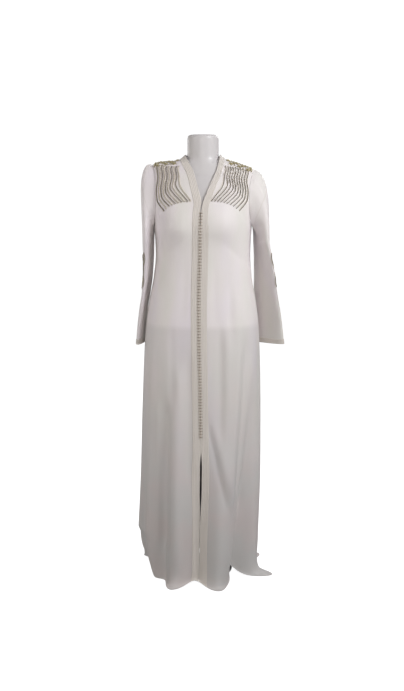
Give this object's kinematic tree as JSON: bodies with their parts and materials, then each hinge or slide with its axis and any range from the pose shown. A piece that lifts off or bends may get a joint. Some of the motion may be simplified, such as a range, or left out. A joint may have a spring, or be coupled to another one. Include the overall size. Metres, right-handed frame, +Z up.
{
  "type": "long kaftan on a limbless dress form with a stand",
  "caption": "Long ivory crepe kaftan with braided front edges, knotted buttons and couched yoke strands, hanging on a limbless dress form with a round stand.",
  "frame": {"origin": "middle of the stand's underside, on the floor, under the dress form's axis", "axes": "+Z up; the garment's front faces -Y; +X is the wearer's left, the right-hand side of a front view"},
  "size_m": [0.5159, 0.4045, 1.52],
  "materials": {
    "crepe": "ivory crepe with a soft satin sheen, slightly sheer",
    "braid": "ivory-beige woven braid with lengthwise stitching",
    "buttons": "greyish-brown silk cord, knotted",
    "gold_thread": "dull antique gold thread and small beads",
    "form_shell": "glossy white shell",
    "stand_steel": "satin steel"
  },
  "bodies": {
    "root": {"front_left": "crepe", "front_right": "crepe", "back": "crepe", "sleeve_left_outer": "crepe", "sleeve_left_inner": "crepe", "sleeve_right_outer": "crepe", "sleeve_right_inner": "crepe", "front_braid_left": "braid", "front_braid_right": "braid", "neck_braid": "braid", "cuff_braid_left": "braid", "cuff_braid_right": "braid", "button_row": "buttons", "shoulder_trim_left": "gold_thread", "shoulder_trim_right": "gold_thread", "yoke_strand_left_1": "gold_thread", "yoke_strand_left_2": "gold_thread", "yoke_strand_left_3": "gold_thread", "yoke_strand_left_4": "gold_thread", "yoke_strand_left_5": "gold_thread", "yoke_strand_left_6": "gold_thread", "yoke_strand_left_7": "gold_thread", "yoke_strand_left_8": "gold_thread", "yoke_strand_left_9": "gold_thread", "yoke_strand_left_10": "gold_thread", "yoke_strand_right_1": "gold_thread", "yoke_strand_right_2": "gold_thread", "yoke_strand_right_3": "gold_thread", "yoke_strand_right_4": "gold_thread", "yoke_strand_right_5": "gold_thread", "yoke_strand_right_6": "gold_thread", "yoke_strand_right_7": "gold_thread", "yoke_strand_right_8": "gold_thread", "yoke_strand_right_9": "gold_thread", "yoke_strand_right_10": "gold_thread", "sleeve_strand_left_1": "gold_thread", "sleeve_strand_left_2": "gold_thread", "sleeve_strand_left_3": "gold_thread", "sleeve_strand_right_1": "gold_thread", "sleeve_strand_right_2": "gold_thread", "sleeve_strand_right_3": "gold_thread", "form_torso": "form_shell", "stand_base": "stand_steel", "stand_pole": "stand_steel", "stand_flange": "stand_steel"}
  },
  "joints": []
}
